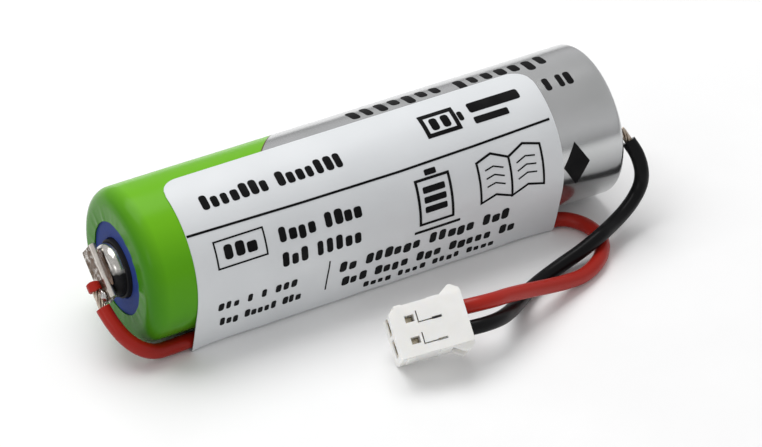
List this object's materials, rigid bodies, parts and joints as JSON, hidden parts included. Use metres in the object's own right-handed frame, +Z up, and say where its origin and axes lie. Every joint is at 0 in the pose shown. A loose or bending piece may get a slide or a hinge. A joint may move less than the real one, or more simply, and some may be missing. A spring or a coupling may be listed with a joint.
{
  "type": "cylindrical battery cell with leads and plug",
  "caption": "Cylindrical lithium cell in a printed shrink sleeve and wrapped label, with soldered red and black leads ending in a small white crimp plug.",
  "frame": {"origin": "on the surface the cell rests on, under the middle of the cell", "axes": "+X along the cell from its positive end to its negative end, +Z up, the leads and the plug lie towards -Y"},
  "size_m": [0.0546, 0.0287, 0.0147],
  "materials": {
    "steel": "satin",
    "nickel": "polished",
    "lithium": "matt",
    "separator": "matt",
    "carbon": "matt",
    "seal_glass": "gloss",
    "black_insulator": "satin",
    "blue_insulator": "matt",
    "sleeve_film": "gloss",
    "label_film": "satin",
    "solder": "satin",
    "tinned_copper": "satin",
    "red_pvc": "gloss",
    "black_pvc": "gloss",
    "natural_nylon": "satin",
    "contact_metal": "satin"
  },
  "bodies": {
    "root": {"can": "steel", "lithium_anode": "lithium", "separator_tube": "separator", "bottom_separator": "separator", "carbon_cathode": "carbon", "current_collector": "nickel", "top_separator": "separator", "header_cover": "steel", "glass_seal": "seal_glass", "positive_pin": "nickel", "positive_cap": "nickel", "insulator_ring": "black_insulator", "top_washer": "blue_insulator", "shrink_sleeve": "sleeve_film", "pack_label": "label_film", "positive_tab": "nickel", "positive_solder": "solder", "red_strands": "tinned_copper", "red_slug": "red_pvc", "red_lead": "red_pvc", "negative_tab": "nickel", "negative_solder": "solder", "black_strands": "tinned_copper", "black_lead": "black_pvc", "plug_housing": "natural_nylon", "red_contact": "contact_metal", "black_contact": "contact_metal", "red_crimped_strands": "tinned_copper", "black_crimped_strands": "tinned_copper"}
  },
  "joints": []
}
